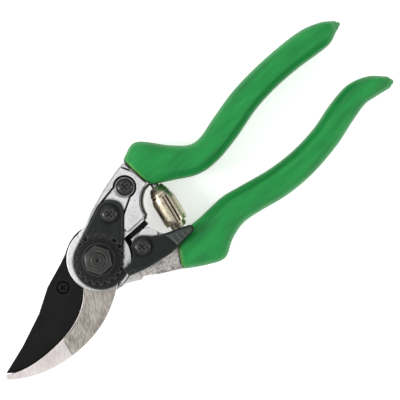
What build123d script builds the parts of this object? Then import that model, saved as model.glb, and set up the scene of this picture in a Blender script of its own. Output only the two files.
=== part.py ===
"""Bypass pruning shears: two forged handles on a pivot bolt, a coated blade, a riveted counter blade,
a toothed disc that locks the nut, a thumb catch and a volute spring.

The shears lie closed with the nut side up. The origin is on the pivot's axis, on the bolt head's back:
+X runs to the handles' ends, +Y to the front handle's side, +Z to the nut. Sizes are in millimetres.
"""

import os
from math import cos, radians, sin, sqrt

from build123d import *

os.makedirs("parts", exist_ok=True)

ON_FOOT = (Align.CENTER, Align.CENTER, Align.MIN)  # solids that stand on their place

# ---------------------------------------------------------------- travel
OPEN_MAX = 32.0  # degrees between closed and open handles
CATCH_LOCK = -6.5  # degrees from rest to locked

# ---------------------------------------------------------------- layers, from the back to the nut
MID_Z = 9.0  # middle of the grips and the spring
BOLT_HEAD_H = 2.2
WASHER_T = 0.6
RUN_GAP = 0.05  # between faces that slide
REAR_HEAD_Z = BOLT_HEAD_H + WASHER_T + RUN_GAP
BLADE_Z = 7.5
BLADE_T = 3.0
FRONT_HEAD_Z = BLADE_Z + BLADE_T + 2 * RUN_GAP
FACE_Z = 15.4  # front face of both handles
LOCK_T = 1.2
LOCK_TOP_Z = FACE_Z + LOCK_T
DISC_T = 1.4
DISC_TOP_Z = LOCK_TOP_Z + DISC_T
NUT_Z = DISC_TOP_Z + WASHER_T
NUT_H = 4.4
BOLT_END_Z = NUT_Z + NUT_H + 0.8
BODY_BACK_Z = 3.0  # back face of the handles' full-thickness part
COUNTER_T = 2.5
CARRIER_TOP_Z = FACE_Z - 0.3
CATCH_Z = 18.2
CATCH_T = 2.2
PAD_TOP_Z = 22.2

# ---------------------------------------------------------------- pivot and fasteners
FIT = 0.05  # radial clearance between round parts
HEAD_R = 14.0  # front handle's round head
REAR_HEAD_R = 15.2
POCKET_R = 15.3  # rear handle's wall round the front head
ARM_R = 15.7  # the front handle's full thickness starts here
PIVOT_R = 4.0
BUSH_R = 5.5
THREAD_R = 3.5
BOLT_HEAD_AF = 13.0
NUT_AF = 10.8
NUT_WASHER_R = 7.1
DISC_R = 10.8
DISC_TEETH = 20
SCALLOP_R = 1.0
SCALLOP_CENTRE_R = 10.5
SHANK_R = 2.0  # M4
SCREW_HEAD_R = 3.7
SCREW_HEAD_H = 2.2
SEGMENT_SCREW = (16.2, 11.4)
POCKET_SCREW = (28.6, 15.6)
CATCH_SCREW = (17.6, -8.2)
BLADE_SCREW = (-20.2, 1.5)
RIVETS = [(-11.0, -13.2), (-26.0, -18.4)]
RIVET_R = 1.8
RIVET_L = 3.7
PEG = (7.3, -13.5)
PEG_R = 1.0
NOTCH_R = 1.25

# ---------------------------------------------------------------- spring between the handles
SPRING_FOOT = (34.35, -13.25)
SPRING_HEAD = (38.35, 7.35)
SPRING_SECTIONS = [(3.4, 3.0), (5.3, 12.4), (4.5, 1.8), (3.5, 3.4)]  # radius and length of each
SPRING_BORE_R = 2.3
STUD_R = 1.7
STUD_REACH = 3.5
STUD_ROOT = 5.0
STUD_HOLE = 8.0  # through the grip's wall

# ---------------------------------------------------------------- details of the head
BUFFER_X = 20.7
BUFFER_PAD = (9.85, 11.4)
BUFFER_PAD_X = 20.275
BUFFER_FOOT_Y = -3.4
BUFFER_FOOT = (4.0, 2.0, 9.1)
BLADE_SCREW_R = 2.9
BLADE_SCREW_SEAT = 1.6
CATCH_BUSH_R = 3.0
HEAD_WASHER_R = 7.5
POCKET_WASHER_R = 4.25
RAISED_INSET = 1.2
POCKET_WAIST = 4.0
POCKET_END_R = 5.1
POCKET_ROOT_R = 6.2
GROOVE_W = 0.7
GROOVE_DEPTH = 0.8

# ---------------------------------------------------------------- grips, as pairs of edge points
GRIP_HALF_T = 9.0
WALL_SIDE = 2.0
WALL_FACE = 3.2
LIP_REACH = 1.6
ROOT_REACH = 5.0  # of the core, ahead of the grip
STATIONS = 26
CORE_STATIONS = 19
TAPER_START = 0.9
TAPER_DEPTH = 0.7
FRONT_GRIP = [
    ((36.0, 25.3), (37.6, 9.2)),
    ((44.8, 27.2), (41.2, 6.8)),
    ((54.2, 17.0), (45.6, 4.3)),
    ((60.6, 11.2), (55.6, -1.2)),
    ((66.5, 10.1), (65.6, -2.4)),
    ((76.0, 12.4), (78.8, -0.4)),
    ((90.0, 15.4), (92.4, 2.9)),
    ((104.0, 16.5), (105.0, 4.2)),
    ((118.0, 16.4), (118.0, 4.0)),
    ((129.5, 15.3), (128.5, 3.0)),
    ((137.3, 12.6), (135.3, 2.7)),
    ((142.2, 9.4), (141.0, 4.8)),
]
REAR_GRIP = [
    ((31.8, -14.0), (23.6, -27.2)),
    ((38.0, -15.1), (32.2, -32.6)),
    ((44.0, -15.4), (40.2, -35.7)),
    ((50.5, -15.2), (47.8, -31.8)),
    ((57.5, -15.3), (55.8, -29.7)),
    ((67.0, -17.3), (64.5, -30.7)),
    ((80.0, -20.0), (78.0, -33.4)),
    ((93.0, -20.9), (92.0, -33.9)),
    ((106.0, -19.7), (107.5, -31.9)),
    ((117.0, -17.0), (120.0, -28.6)),
    ((128.5, -15.5), (128.5, -26.8)),
    ((137.5, -18.4), (133.8, -27.3)),
    ((143.6, -23.8), (141.0, -28.7)),
]


# ---------------------------------------------------------------- helpers
def turned(point, centre, angle):
    """A point turned about a centre by an angle in degrees."""
    dx, dy = point[0] - centre[0], point[1] - centre[1]
    c, s = cos(radians(angle)), sin(radians(angle))
    return (centre[0] + dx * c - dy * s, centre[1] + dx * s + dy * c)


def grip_section(pairs, along, side, face):
    """One rounded section of a grip, at a fraction along it, drawn in by side and by face."""
    top = Spline(*[pair[0] for pair in pairs]) @ along
    bottom = Spline(*[pair[1] for pair in pairs]) @ along
    across = top - bottom
    middle = (top + bottom) / 2 + Vector(0, 0, MID_Z)
    rounding = max(0.0, (along - TAPER_START) / (1.0 - TAPER_START))
    width = across.length - 2 * side
    height = 2 * (GRIP_HALF_T * sqrt(1.0 - TAPER_DEPTH * rounding**2) - face)
    with BuildSketch(Plane(origin=middle, x_dir=across, z_dir=across.cross(Vector(0, 0, -1)))) as section:
        RectangleRounded(width, height, 0.42 * min(width, height))
    return section.sketch.face()


def grip_solid(pairs, side, face, stations):
    """Loft through a grip's first stations."""
    with BuildPart() as solid:
        loft([grip_section(pairs, index / STATIONS, side, face) for index in range(stations + 1)], ruled=True)
    return solid.part


def grip_end(pairs, length):
    """The nub that dipping leaves on a grip's end."""
    face = grip_section(pairs, 1.0, 0, 0)
    before = grip_section(pairs, 0.97, 0, 0)
    with BuildPart() as nub:
        with BuildSketch(Plane(origin=face.center(), z_dir=face.center() - before.center())):
            Circle(2.2)
        extrude(amount=length, taper=25)
    return nub.part


def core_root(pairs, length):
    """The start of a handle's core, run back into its arm."""
    with BuildPart() as root:
        extrude(grip_section(pairs, 0.0, WALL_SIDE, WALL_FACE), amount=length)
    return root.part


def spring_plane(back):
    """A plane across the spring's axis at a distance behind its foot, looking at its head."""
    axis = Vector(SPRING_HEAD[0] - SPRING_FOOT[0], SPRING_HEAD[1] - SPRING_FOOT[1], 0).normalized()
    return Plane(origin=Vector(*SPRING_FOOT, MID_Z) - axis * back, z_dir=axis)


def stud(end, other, radius, reach):
    """A pin along the spring's axis, from inside a handle to reach inside the spring."""
    axis = Vector(other[0] - end[0], other[1] - end[1], 0).normalized()
    with BuildPart() as pin:
        with BuildSketch(Plane(origin=Vector(*end, MID_Z) - axis * STUD_ROOT, z_dir=axis)):
            Circle(radius)
        extrude(amount=STUD_ROOT + reach)
    return pin.part


def screw(centre, seat_z, head_r, head_h, length):
    """A domed screw with a cross recess, whose head sits on seat_z."""
    with BuildPart() as body:
        with BuildSketch(Plane.XZ):
            with BuildLine():
                Polyline(
                    (0, seat_z + head_h),
                    (0, seat_z - length),
                    (SHANK_R, seat_z - length),
                    (SHANK_R, seat_z),
                    (head_r, seat_z),
                    (head_r, seat_z + 0.5 * head_h),
                )
                ThreePointArc(
                    (head_r, seat_z + 0.5 * head_h),
                    (0.7 * head_r, seat_z + 0.87 * head_h),
                    (0, seat_z + head_h),
                )
            make_face()
        revolve(axis=Axis.Z)
        with Locations((0, 0, seat_z + head_h)):
            Box(1.1 * head_r, 0.26 * head_r, 1.2 * head_h, mode=Mode.SUBTRACT)
            Box(0.26 * head_r, 1.1 * head_r, 1.2 * head_h, mode=Mode.SUBTRACT)
    return body.part.moved(Location((centre[0], centre[1], 0)))


def ring(outer_r, inner_r, bottom_z, thickness, centre=(0, 0)):
    """A flat ring."""
    with BuildPart() as washer:
        with BuildSketch(Plane.XY.offset(bottom_z)):
            with Locations(centre):
                Circle(outer_r)
                Circle(inner_r, mode=Mode.SUBTRACT)
        extrude(amount=thickness)
    return washer.part


def plate(outline, bottom_z, thickness):
    """An outline made solid."""
    with BuildPart() as slab:
        with BuildSketch(Plane.XY.offset(bottom_z)):
            add(outline)
        extrude(amount=thickness)
    return slab.part


def write(piece, name):
    """Name a piece and write it out."""
    piece.part.label = name
    export_step(piece.part, f"parts/{name}.step")
    print(f"{name}: {piece.part.volume:.0f} mm3, {len(piece.part.solids())} solids")


# ---------------------------------------------------------------- outlines
def round_hull(a, a_r, b, b_r):
    """The outline round two circles."""
    with BuildSketch() as outline:
        with Locations(a):
            Circle(a_r)
        with Locations(b):
            Circle(b_r)
        make_hull()
    return outline.sketch


def lock_plate_outline():
    """Pear-shaped plate, round at the pivot and at its screw, with a shoulder at the catch."""
    with BuildSketch() as outline:
        with BuildLine():
            Line((21.3, 8.0), (8.0, -6.3))
            Polyline((8.0, -6.3), (4.9, -8.6), (4.9, -12.1))
            ThreePointArc((4.9, -12.1), (-11.75, -1.3), (-4.0, 9.9))
            Line((-4.0, 9.9), (14.3, 17.0))
            ThreePointArc((14.3, 17.0), (22.0, 13.0), (21.3, 8.0))
        make_face()
    return outline.sketch


def pocket_outline():
    """Waisted pocket round the pocket screw and the lock plate's screw."""
    with BuildSketch() as outline:
        add(round_hull(POCKET_SCREW, POCKET_WAIST, SEGMENT_SCREW, POCKET_ROOT_R))
        with Locations(POCKET_SCREW):
            Circle(POCKET_END_R)
    return outline.sketch


def front_arm_outline():
    """Front handle from its head to the grip, with the stop lug below."""
    with BuildSketch() as outline:
        with BuildLine():
            Polyline((0.0, 13.9), (4.5, 14.7), (10.0, 17.3), (20.0, 21.0), (31.0, 23.8), (35.9, 24.4))
            Polyline((35.9, 24.4), (37.5, 9.5), (34.4, 9.2))
            ThreePointArc((34.4, 9.2), (30.2, 6.4), (27.6, 0.8))
            Polyline((27.6, 0.8), (26.0, -0.4), (16.6, -0.4), (0.0, -0.4), (0.0, 13.9))
        make_face()
    return outline.sketch


def carrier_outline():
    """Arm that backs the counter blade, a little inside its cutting edge."""
    with BuildSketch() as outline:
        with BuildLine():
            Line((0.0, 0.0), (-13.1, -4.7))
            Spline((-13.1, -4.7), (-16.2, -8.5), (-24.0, -13.2), (-33.8, -15.4))
            Line((-33.8, -15.4), (-35.5, -22.8))
            Spline((-35.5, -22.8), (-25.0, -22.5), (-14.5, -20.1), (-2.5, -13.6))
            Line((-2.5, -13.6), (0.0, 0.0))
        make_face()
    return outline.sketch


def counter_blade_outline():
    """Hook with a concave cutting edge and a seat against the head."""
    with BuildSketch() as outline:
        with BuildLine():
            Spline(
                (-13.4, -4.2), (-16.3, -7.5), (-22.5, -11.6), (-42.0, -15.1), (-55.5, -13.4), (-63.6, -9.9),
            )
            Line((-63.6, -9.9), (-64.8, -11.2))
            Spline((-64.8, -11.2), (-51.0, -19.6), (-35.5, -22.9), (-18.0, -21.3), (-3.4, -14.0))
            ThreePointArc((-3.4, -14.0), (-9.9, -10.4), (-13.4, -4.2))
        make_face()
    return outline.sketch


def blade_outline():
    """Blade with a straight back, a convex cutting edge and a round eye."""
    with BuildSketch() as outline:
        with BuildLine():
            Polyline((-9.6, 11.4), (-25.0, 6.1), (-35.5, 0.0), (-50.0, -5.7), (-62.9, -9.5))
            Spline((-62.9, -9.5), (-52.0, -15.9), (-36.0, -17.4), (-23.0, -14.4), (-12.4, -6.0))
            ThreePointArc((-12.4, -6.0), (-1.0, -13.2), (8.7, -10.4))
            Line((8.7, -10.4), (9.7, -11.7))
            ThreePointArc((9.7, -11.7), (12.2, 9.07), (-9.6, 11.4))
        make_face()
    return outline.sketch


def rear_head_outline():
    """Rear handle's head with the arm that backs the blade."""
    with BuildSketch() as outline:
        Circle(REAR_HEAD_R)
        with Locations(BLADE_SCREW):
            Circle(5.2)
        make_hull()
    return outline.sketch


def rear_rim_outline():
    """Step of the rear handle below the round head, between the head and the neck."""
    with BuildSketch() as outline:
        with BuildLine():
            Polyline(
                (-3.0, -13.4), (3.0, -16.3), (7.2, -18.6), (8.6, -18.0), (12.0, -14.0), (4.0, -8.0),
                (-3.0, -13.4),
            )
        make_face()
    return outline.sketch


def rear_neck_outline():
    """Full-thickness part of the rear handle, from the pocket wall to the grip."""
    with BuildSketch() as outline:
        with BuildLine():
            Polyline(
                (8.3, -17.3), (11.6, -12.0), (13.0, -6.0), (14.8, -4.5), (16.6, -2.7), (22.5, -2.7),
                (24.4, -3.8), (25.3, -6.3), (26.6, -9.4), (31.3, -14.2), (23.7, -26.6), (15.0, -21.8),
                (8.3, -17.3),
            )
        make_face()
        Circle(POCKET_R, mode=Mode.SUBTRACT)
    return outline.sketch


def lever_outline():
    """Catch lever from its nose to its thumb pad."""
    with BuildSketch() as outline:
        with BuildLine():
            Polyline((5.2, -13.9), (5.2, -10.1), (9.2, -10.0), (11.6, -8.7), (13.9, -5.9))
            ThreePointArc((13.9, -5.9), (17.6, -3.8), (21.4, -6.1))
            Polyline((21.4, -6.1), (24.4, -8.8), (34.5, -13.0), (38.0, -14.5))
            ThreePointArc((38.0, -14.5), (39.1, -16.2), (37.2, -17.8))
            Polyline((37.2, -17.8), (30.0, -18.1), (25.0, -18.5), (14.0, -16.6), (5.2, -13.9))
        make_face()
    return outline.sketch


def pad_outline():
    """Thumb pad on the lever's tail."""
    with BuildSketch() as outline:
        with BuildLine():
            Polyline((28.0, -11.2), (34.5, -13.7), (37.6, -15.0))
            ThreePointArc((37.6, -15.0), (38.4, -16.2), (37.0, -17.2))
            Polyline((37.0, -17.2), (29.0, -17.6), (28.0, -11.2))
        make_face()
    return outline.sketch


# ================================================================ front handle's side
with BuildPart() as front_handle:
    with BuildSketch(Plane.XY.offset(FRONT_HEAD_Z)):
        Circle(HEAD_R)
    extrude(amount=FACE_Z - FRONT_HEAD_Z)
    chamfer(edges().filter_by(GeomType.CIRCLE).group_by(Axis.Z)[-1], 0.5)
    add(plate(front_arm_outline(), FRONT_HEAD_Z, FACE_Z - FRONT_HEAD_Z))
    # Full thickness outside the rear handle's head.
    with BuildSketch(Plane.XY.offset(BODY_BACK_Z)):
        add(front_arm_outline())
        Circle(ARM_R, mode=Mode.SUBTRACT)
    extrude(amount=FACE_Z - BODY_BACK_Z)
    # Carrier behind the counter blade's head side.
    add(plate(carrier_outline(), FRONT_HEAD_Z + COUNTER_T, CARRIER_TOP_Z - FRONT_HEAD_Z - COUNTER_T))
    # Raised face, a little inside the arm's outline.
    with BuildSketch(Plane.XY.offset(FACE_Z)):
        add(front_arm_outline())
        offset(amount=-RAISED_INSET)
        Circle(HEAD_R + 3.0, mode=Mode.SUBTRACT)
    extrude(amount=LOCK_T)
    with BuildSketch(Plane.XY.offset(FACE_Z)):
        add(lock_plate_outline())
        offset(amount=0.3)
    extrude(amount=LOCK_T, mode=Mode.SUBTRACT)
    # Waisted pocket round both screws, with a groove inside its edge.
    with BuildSketch(Plane.XY.offset(FACE_Z)):
        add(pocket_outline())
    extrude(amount=LOCK_T, mode=Mode.SUBTRACT)
    with BuildSketch(Plane.XY.offset(FACE_Z - GROOVE_DEPTH)):
        add(pocket_outline())
        with BuildSketch(mode=Mode.SUBTRACT):
            add(pocket_outline())
            offset(amount=-GROOVE_W)
    extrude(amount=GROOVE_DEPTH, mode=Mode.SUBTRACT)
    # Core inside the grip.
    add(grip_solid(FRONT_GRIP, WALL_SIDE, WALL_FACE, CORE_STATIONS))
    add(core_root(FRONT_GRIP, ROOT_REACH))
    # Groove across the arm, before the grip.
    with BuildSketch(Plane.XY.offset(FACE_Z + LOCK_T - GROOVE_DEPTH)):
        with Locations((34.9, 19.4)):
            Rectangle(0.9, 13.0, rotation=27)
    extrude(amount=2 * GROOVE_DEPTH, mode=Mode.SUBTRACT)
    # Bore, screw holes, rivet holes, stud hole and the catch's two notches.
    with BuildSketch(Plane.XY):
        Circle(PIVOT_R + FIT)
        with Locations(SEGMENT_SCREW, POCKET_SCREW):
            Circle(SHANK_R + FIT)
    extrude(amount=FACE_Z + LOCK_T, mode=Mode.SUBTRACT)
    with BuildSketch(Plane.XY.offset(FRONT_HEAD_Z)):
        with Locations(*RIVETS):
            Circle(RIVET_R + FIT)
    extrude(amount=RIVET_L, mode=Mode.SUBTRACT)
    add(stud(SPRING_HEAD, SPRING_FOOT, STUD_R + FIT, 0.0), mode=Mode.SUBTRACT)
    for angle in (0.0, -OPEN_MAX):
        locked = turned(turned(PEG, CATCH_SCREW, CATCH_LOCK), (0, 0), angle)
        clear = turned(PEG, (0, 0), angle)
        add(plate(round_hull(locked, NOTCH_R, clear, NOTCH_R), FRONT_HEAD_Z, LOCK_TOP_Z), mode=Mode.SUBTRACT)
write(front_handle, "front_handle")

with BuildPart() as front_grip:
    add(grip_solid(FRONT_GRIP, 0, 0, STATIONS))
    add(grip_end(FRONT_GRIP, LIP_REACH))
    add(grip_solid(FRONT_GRIP, WALL_SIDE - FIT, WALL_FACE - FIT, CORE_STATIONS), mode=Mode.SUBTRACT)
    add(stud(SPRING_HEAD, SPRING_FOOT, STUD_R + FIT, STUD_HOLE), mode=Mode.SUBTRACT)
write(front_grip, "front_grip")

with BuildPart() as counter_blade:
    add(plate(counter_blade_outline(), FRONT_HEAD_Z, COUNTER_T))
    with BuildSketch(Plane.XY.offset(FRONT_HEAD_Z)):
        Circle(HEAD_R + FIT)
    extrude(amount=COUNTER_T, mode=Mode.SUBTRACT)
    with BuildSketch(Plane.XY.offset(FRONT_HEAD_Z)):
        with Locations(*RIVETS):
            Circle(RIVET_R + FIT)
    extrude(amount=COUNTER_T, mode=Mode.SUBTRACT)
write(counter_blade, "counter_blade")

with BuildPart() as counter_rivets:
    with BuildSketch(Plane.XY.offset(FRONT_HEAD_Z)):
        with Locations(*RIVETS):
            Circle(RIVET_R)
    extrude(amount=RIVET_L)
write(counter_rivets, "counter_rivets")

with BuildPart() as lock_segment:
    add(plate(lock_plate_outline(), FACE_Z, LOCK_T))
    # Upper layer beside the toothed disc, with teeth that stand in the disc's scallops.
    with BuildSketch(Plane.XY.offset(LOCK_TOP_Z)):
        add(lock_plate_outline())
        offset(amount=-0.5)
        with BuildSketch(mode=Mode.INTERSECT):
            with Locations((14.6, 9.9)):
                Circle(12.0)
        Circle(DISC_R + 0.3, mode=Mode.SUBTRACT)
        with PolarLocations(SCALLOP_CENTRE_R, 3, start_angle=27, angular_range=54):
            Circle(SCALLOP_R - 0.2)
        with PolarLocations(SCALLOP_CENTRE_R + 0.8, 3, start_angle=27, angular_range=54):
            Circle(SCALLOP_R - 0.2)
    extrude(amount=DISC_T - 0.3)
    with BuildSketch(Plane.XY.offset(FACE_Z)):
        Circle(THREAD_R + FIT)
        with Locations(SEGMENT_SCREW):
            Circle(SHANK_R + FIT)
        with Locations(turned(turned(PEG, CATCH_SCREW, CATCH_LOCK), (0, 0), -OPEN_MAX)):
            Circle(NOTCH_R)
    extrude(amount=LOCK_T + DISC_T, mode=Mode.SUBTRACT)
write(lock_segment, "lock_segment")

with BuildPart() as segment_screw:
    add(screw(SEGMENT_SCREW, DISC_TOP_Z - 0.3, SCREW_HEAD_R, SCREW_HEAD_H, 8.0))
write(segment_screw, "segment_screw")

with BuildPart() as pocket_washer:
    add(ring(POCKET_WASHER_R, SHANK_R + FIT, FACE_Z, WASHER_T, POCKET_SCREW))
write(pocket_washer, "pocket_washer")

with BuildPart() as pocket_screw:
    add(screw(POCKET_SCREW, FACE_Z + WASHER_T, SCREW_HEAD_R, SCREW_HEAD_H, 9.0))
write(pocket_screw, "pocket_screw")

with BuildPart() as toothed_disc:
    with BuildSketch(Plane.XY.offset(LOCK_TOP_Z)):
        Circle(DISC_R)
        Circle(THREAD_R + FIT, mode=Mode.SUBTRACT)
        with PolarLocations(SCALLOP_CENTRE_R, DISC_TEETH, start_angle=9):
            Circle(SCALLOP_R, mode=Mode.SUBTRACT)
    extrude(amount=DISC_T)
write(toothed_disc, "toothed_disc")

with BuildPart() as nut_washer:
    add(ring(NUT_WASHER_R, THREAD_R + FIT, DISC_TOP_Z, WASHER_T))
write(nut_washer, "nut_washer")

with BuildPart() as hex_nut:
    with BuildSketch(Plane.XY.offset(NUT_Z)):
        RegularPolygon(NUT_AF / 2, 6, major_radius=False)
    extrude(amount=NUT_H)
    with Locations((0, 0, NUT_Z)):
        Cone(NUT_AF / 2 + 7.0, NUT_AF / 2 - 0.4, NUT_H, align=ON_FOOT, mode=Mode.INTERSECT)
        Cylinder(THREAD_R + FIT, NUT_H, align=ON_FOOT, mode=Mode.SUBTRACT)
write(hex_nut, "hex_nut")

with BuildPart() as pivot_bolt:
    with BuildSketch(Plane.XY):
        RegularPolygon(BOLT_HEAD_AF / 2, 6, major_radius=False)
    extrude(amount=BOLT_HEAD_H)
    with BuildSketch(Plane.XY.offset(BOLT_HEAD_H)):
        Circle(PIVOT_R)
    extrude(amount=FACE_Z - BOLT_HEAD_H)
    with BuildSketch(Plane.XY.offset(FACE_Z)):
        Circle(THREAD_R)
    extrude(amount=BOLT_END_Z - FACE_Z)
    chamfer(edges().filter_by(GeomType.CIRCLE).group_by(Axis.Z)[-1], 0.8)
    with Locations((0, 0, BOLT_END_Z)):
        Cone(0.2, 1.5, 1.6, mode=Mode.SUBTRACT)
write(pivot_bolt, "pivot_bolt")

with BuildPart() as head_washer:
    add(ring(HEAD_WASHER_R, PIVOT_R + FIT, BOLT_HEAD_H, WASHER_T))
write(head_washer, "head_washer")

with BuildPart() as spring_head_stud:
    add(stud(SPRING_HEAD, SPRING_FOOT, STUD_R, STUD_REACH))
write(spring_head_stud, "spring_head_stud")

# ================================================================ rear handle's side
with BuildPart() as rear_handle:
    add(plate(rear_head_outline(), REAR_HEAD_Z, BLADE_Z - REAR_HEAD_Z))
    add(plate(rear_rim_outline(), REAR_HEAD_Z, BLADE_Z + BLADE_T - REAR_HEAD_Z))
    chamfer(faces().sort_by(Axis.Z)[0].edges(), 0.8)
    add(plate(rear_neck_outline(), BODY_BACK_Z, FACE_Z - BODY_BACK_Z))
    # Boss under the catch.
    add(plate(round_hull(CATCH_SCREW, 4.6, (22.0, -7.0), 4.0), FACE_Z, CATCH_Z - RUN_GAP - FACE_Z))
    # Seat for the blade's eye.
    with BuildSketch(Plane.XY.offset(BLADE_Z)):
        add(blade_outline())
        offset(amount=FIT)
    extrude(amount=BLADE_T, mode=Mode.SUBTRACT)
    add(grip_solid(REAR_GRIP, WALL_SIDE, WALL_FACE, CORE_STATIONS))
    add(core_root(REAR_GRIP, ROOT_REACH))
    # Bush bore, screw holes and stud hole.
    with BuildSketch(Plane.XY):
        Circle(BUSH_R + FIT)
        with Locations(BLADE_SCREW, CATCH_SCREW):
            Circle(SHANK_R + FIT)
    extrude(amount=CATCH_Z, mode=Mode.SUBTRACT)
    add(stud(SPRING_FOOT, SPRING_HEAD, STUD_R + FIT, 0.0), mode=Mode.SUBTRACT)
    # Slot for the buffer's foot.
    with Locations((BUFFER_X, BUFFER_FOOT_Y, MID_Z)):
        Box(*BUFFER_FOOT, mode=Mode.SUBTRACT)
write(rear_handle, "rear_handle")

with BuildPart() as rear_grip:
    add(grip_solid(REAR_GRIP, 0, 0, STATIONS))
    add(grip_end(REAR_GRIP, LIP_REACH))
    add(grip_solid(REAR_GRIP, WALL_SIDE - FIT, WALL_FACE - FIT, CORE_STATIONS), mode=Mode.SUBTRACT)
    add(stud(SPRING_FOOT, SPRING_HEAD, STUD_R + FIT, STUD_HOLE), mode=Mode.SUBTRACT)
write(rear_grip, "rear_grip")

with BuildPart() as cutting_blade:
    add(plate(blade_outline(), BLADE_Z, BLADE_T))
    with Locations((BLADE_SCREW[0], BLADE_SCREW[1], BLADE_Z + BLADE_T)):
        CounterBoreHole(SHANK_R + FIT, BLADE_SCREW_R + FIT, BLADE_SCREW_SEAT)
    with BuildSketch(Plane.XY.offset(BLADE_Z)):
        Circle(BUSH_R + FIT)
    extrude(amount=BLADE_T, mode=Mode.SUBTRACT)
write(cutting_blade, "cutting_blade")

with BuildPart() as blade_screw:
    add(screw(BLADE_SCREW, BLADE_Z + BLADE_T - BLADE_SCREW_SEAT, BLADE_SCREW_R, BLADE_SCREW_SEAT - 0.1, 5.0))
write(blade_screw, "blade_screw")

with BuildPart() as pivot_bush:
    add(ring(BUSH_R, PIVOT_R + FIT, REAR_HEAD_Z, BLADE_Z + BLADE_T - REAR_HEAD_Z))
write(pivot_bush, "pivot_bush")

with BuildPart() as stop_buffer:
    with BuildSketch(Plane.XZ.offset(2.65)):
        with Locations((BUFFER_PAD_X, MID_Z + 0.2)):
            RectangleRounded(*BUFFER_PAD, 1.5)
    extrude(amount=-2.15)
    with Locations((BUFFER_X, BUFFER_FOOT_Y, MID_Z)):
        Box(*(side - 2 * FIT for side in BUFFER_FOOT))
write(stop_buffer, "stop_buffer")

with BuildPart() as spring_foot_stud:
    add(stud(SPRING_FOOT, SPRING_HEAD, STUD_R, STUD_REACH))
write(spring_foot_stud, "spring_foot_stud")

with BuildPart() as volute_spring:
    along = 0.0
    for radius, length in SPRING_SECTIONS:
        with BuildSketch(spring_plane(-along)):
            Circle(radius)
        extrude(amount=length)
        along += length
    with BuildSketch(spring_plane(0)):
        Circle(SPRING_BORE_R)
    extrude(amount=along, mode=Mode.SUBTRACT)
write(volute_spring, "volute_spring")

with BuildPart() as catch_bush:
    add(ring(CATCH_BUSH_R, SHANK_R + FIT, CATCH_Z - RUN_GAP, CATCH_T + 2 * RUN_GAP, CATCH_SCREW))
write(catch_bush, "catch_bush")

with BuildPart() as catch_screw:
    add(screw(CATCH_SCREW, CATCH_Z + CATCH_T + RUN_GAP, SCREW_HEAD_R, SCREW_HEAD_H, 13.0))
write(catch_screw, "catch_screw")

# ================================================================ catch
with BuildPart() as catch_lever:
    add(plate(lever_outline(), CATCH_Z, CATCH_T))
    chamfer(faces().sort_by(Axis.Z)[-1].edges(), 0.5)
    add(plate(pad_outline(), CATCH_Z + CATCH_T, PAD_TOP_Z - CATCH_Z - CATCH_T))
    chamfer(faces().sort_by(Axis.Z)[-1].edges(), 0.6)
    with BuildSketch(Plane.XY.offset(CATCH_Z)):
        with Locations(CATCH_SCREW):
            Circle(CATCH_BUSH_R + FIT)
        with Locations(PEG):
            Circle(PEG_R + FIT)
    extrude(amount=CATCH_T, mode=Mode.SUBTRACT)
write(catch_lever, "catch_lever")

with BuildPart() as catch_peg:
    with BuildSketch(Plane.XY.offset(FRONT_HEAD_Z + 0.4)):
        with Locations(PEG):
            Circle(PEG_R)
    extrude(amount=CATCH_Z + CATCH_T - FRONT_HEAD_Z - 0.6)
write(catch_peg, "catch_peg")
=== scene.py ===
"""Pruning shears with dipped grips, lying closed on a pale table.

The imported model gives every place: pieces are copies of its nodes with worked edges, or new meshes in the
same frame. Lengths in the classes are in millimetres and become metres where a mesh is made.
"""

import logging
import math
from dataclasses import dataclass, field
from enum import Enum, IntEnum
from typing import Iterable

import bmesh
import bpy
from mathutils import Matrix, Vector


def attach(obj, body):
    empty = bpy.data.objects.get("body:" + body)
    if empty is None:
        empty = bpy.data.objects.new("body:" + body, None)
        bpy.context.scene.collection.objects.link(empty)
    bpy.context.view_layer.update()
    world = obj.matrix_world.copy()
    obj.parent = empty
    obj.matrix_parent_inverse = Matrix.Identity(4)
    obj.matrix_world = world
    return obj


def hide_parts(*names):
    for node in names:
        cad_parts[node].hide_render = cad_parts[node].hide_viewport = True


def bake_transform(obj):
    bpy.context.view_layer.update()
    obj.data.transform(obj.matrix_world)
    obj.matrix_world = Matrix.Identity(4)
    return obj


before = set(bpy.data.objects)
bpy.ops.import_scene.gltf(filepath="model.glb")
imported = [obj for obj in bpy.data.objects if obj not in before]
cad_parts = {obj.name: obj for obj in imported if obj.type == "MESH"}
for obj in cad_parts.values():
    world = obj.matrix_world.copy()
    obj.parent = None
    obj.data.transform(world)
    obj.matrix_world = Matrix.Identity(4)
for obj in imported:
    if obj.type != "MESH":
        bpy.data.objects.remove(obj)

LOG = logging.getLogger("pruning_shears")
MM = 0.001
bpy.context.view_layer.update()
LIP_LAYER = "lip"
MERGE_GAP = 0.002  # millimetres within which a CAD mesh's corners are one
WIND_GAP = 0.001  # millimetres within which a wound strip's corners are one
FLAT_ANGLE = 0.6  # degrees below which neighbouring faces are one
SHARP_ANGLE = 32.0  # degrees above which an edge is rounded
SMOOTH_ANGLE = 38.0  # degrees below which faces are shaded as one
Colour = tuple[float, float, float]
Point = tuple[float, float]
Triple = tuple[float, float, float]
Socket = bpy.types.NodeSocket
Edges = list[bmesh.types.BMEdge]
Ring = list[bmesh.types.BMVert]


class Body(Enum):
    """Rigid bodies of the shears."""

    REAR = "blade_handle"
    FRONT = "hook_handle"
    CATCH = "catch"


class Slot(Enum):
    """Material slots of the record."""

    GRIP = "grip"
    FRONT = "front_metal"
    REAR = "rear_metal"
    HOOK = "hook_steel"
    BLADE = "blade_black"
    OXIDE = "black_oxide"
    CATCH = "catch_black"
    BUFFER = "buffer_rubber"
    SPRING = "spring_steel"
    BUSH = "bush_bronze"
    BRIGHT = "bright_steel"


class FrontZone(IntEnum):
    """The front handle's zones, in the order of their finishes; the rim ends up in the others."""

    MACHINED = 0
    CARRIER = 1
    # painted shade on the step, the groove and the rim in the hollow
    SHADED_STEP = 2
    SKIN = 3
    RIM = 4


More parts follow.
